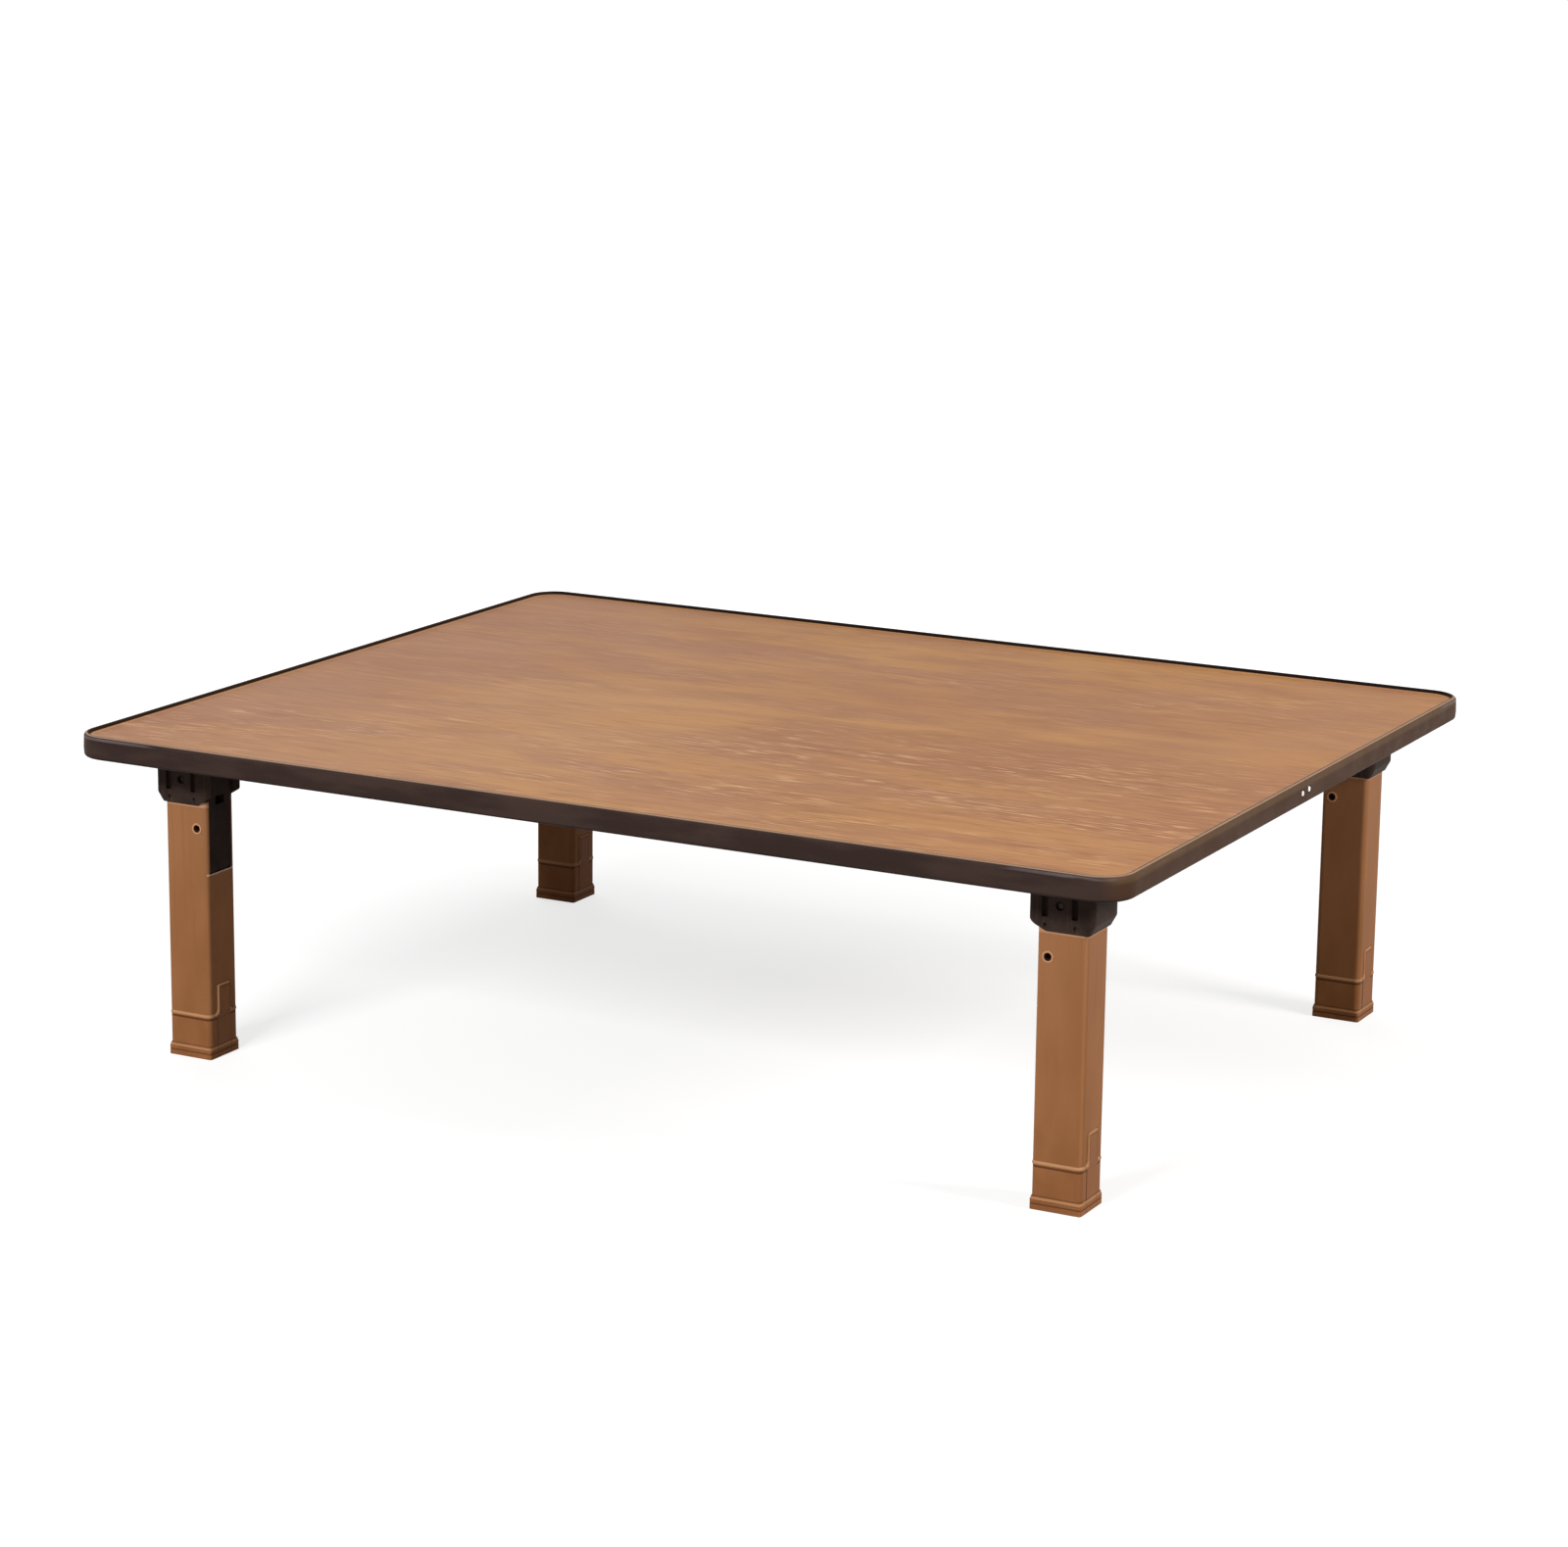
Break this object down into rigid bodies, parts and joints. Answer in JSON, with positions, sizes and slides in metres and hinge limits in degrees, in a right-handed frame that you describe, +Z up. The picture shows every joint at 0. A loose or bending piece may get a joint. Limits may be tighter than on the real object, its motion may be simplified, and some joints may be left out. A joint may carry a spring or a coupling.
{
  "type": "folding low table",
  "caption": "Low rectangular folding table: wood-grain board top with a raised soft plastic edge, square-section folding legs in open-sided hinge brackets with press-to-release lock levers.",
  "frame": {"origin": "on the floor under the middle of the top", "axes": "+X along the long side of the top, +Y from the front long side to the back, +Z up"},
  "size_m": [1, 0.8, 0.3],
  "materials": {
    "wood_laminate": "satin printed wood grain",
    "board_core": "raw fibreboard",
    "balance_paper": "matt backing sheet",
    "edge_plastic": "satin soft plastic",
    "leg_paint": "satin brown paint",
    "boot_plastic": "satin moulded plastic",
    "black_plastic": "matt moulded plastic",
    "dark_steel": "oiled",
    "zinc_steel": "zinc plated",
    "nail_metal": "polished"
  },
  "bodies": {
    "table_top": {"core_board": "board_core", "top_laminate": "wood_laminate", "balance_sheet": "balance_paper", "edge_moulding": "edge_plastic", "seam_nails": "nail_metal", "front_left_leg_bracket": "black_plastic", "front_left_pivot_pin": "dark_steel", "front_left_bracket_screws": "zinc_steel", "front_right_leg_bracket": "black_plastic", "front_right_pivot_pin": "dark_steel", "front_right_bracket_screws": "zinc_steel", "back_left_leg_bracket": "black_plastic", "back_left_pivot_pin": "dark_steel", "back_left_bracket_screws": "zinc_steel", "back_right_leg_bracket": "black_plastic", "back_right_pivot_pin": "dark_steel", "back_right_bracket_screws": "zinc_steel"},
    "front_left_leg": {"front_left_leg_tube": "leg_paint", "front_left_leg_insert": "black_plastic", "front_left_lever_rivet": "leg_paint", "front_left_lever_spring": "zinc_steel", "front_left_foot_boot": "boot_plastic"},
    "front_left_lever": {"front_left_lock_lever": "black_plastic"},
    "front_right_leg": {"front_right_leg_tube": "leg_paint", "front_right_leg_insert": "black_plastic", "front_right_lever_rivet": "leg_paint", "front_right_lever_spring": "zinc_steel", "front_right_foot_boot": "boot_plastic"},
    "front_right_lever": {"front_right_lock_lever": "black_plastic"},
    "back_left_leg": {"back_left_leg_tube": "leg_paint", "back_left_leg_insert": "black_plastic", "back_left_lever_rivet": "leg_paint", "back_left_lever_spring": "zinc_steel", "back_left_foot_boot": "boot_plastic"},
    "back_left_lever": {"back_left_lock_lever": "black_plastic"},
    "back_right_leg": {"back_right_leg_tube": "leg_paint", "back_right_leg_insert": "black_plastic", "back_right_lever_rivet": "leg_paint", "back_right_lever_spring": "zinc_steel", "back_right_foot_boot": "boot_plastic"},
    "back_right_lever": {"back_right_lock_lever": "black_plastic"}
  },
  "joints": [
    {"name": "front_left_leg_fold", "type": "hinge", "parent": "table_top", "child": "front_left_leg", "pos_m": [-0.424, -0.315, 0.256], "axis": [0, -1, 0], "range_deg": [0, 90]},
    {"name": "front_left_lever_press", "type": "hinge", "parent": "front_left_leg", "child": "front_left_lever", "pos_m": [-0.412, -0.315, 0.2117], "axis": [0, 1, 0], "range_deg": [0, 4.5], "stiffness_Nm_per_rad": 0.6, "springref_deg": -8.59, "deforming": ["front_left_lever_spring"]},
    {"name": "front_right_leg_fold", "type": "hinge", "parent": "table_top", "child": "front_right_leg", "pos_m": [0.424, -0.315, 0.256], "axis": [0, 1, 0], "range_deg": [0, 90]},
    {"name": "front_right_lever_press", "type": "hinge", "parent": "front_right_leg", "child": "front_right_lever", "pos_m": [0.412, -0.315, 0.2117], "axis": [0, -1, 0], "range_deg": [0, 4.5], "stiffness_Nm_per_rad": 0.6, "springref_deg": -8.59, "deforming": ["front_right_lever_spring"]},
    {"name": "back_left_leg_fold", "type": "hinge", "parent": "table_top", "child": "back_left_leg", "pos_m": [-0.424, 0.315, 0.256], "axis": [0, -1, 0], "range_deg": [0, 90]},
    {"name": "back_left_lever_press", "type": "hinge", "parent": "back_left_leg", "child": "back_left_lever", "pos_m": [-0.412, 0.315, 0.2117], "axis": [0, 1, 0], "range_deg": [0, 4.5], "stiffness_Nm_per_rad": 0.6, "springref_deg": -8.59, "deforming": ["back_left_lever_spring"]},
    {"name": "back_right_leg_fold", "type": "hinge", "parent": "table_top", "child": "back_right_leg", "pos_m": [0.424, 0.315, 0.256], "axis": [0, 1, 0], "range_deg": [0, 90]},
    {"name": "back_right_lever_press", "type": "hinge", "parent": "back_right_leg", "child": "back_right_lever", "pos_m": [0.412, 0.315, 0.2117], "axis": [0, -1, 0], "range_deg": [0, 4.5], "stiffness_Nm_per_rad": 0.6, "springref_deg": -8.59, "deforming": ["back_right_lever_spring"]}
  ]
}
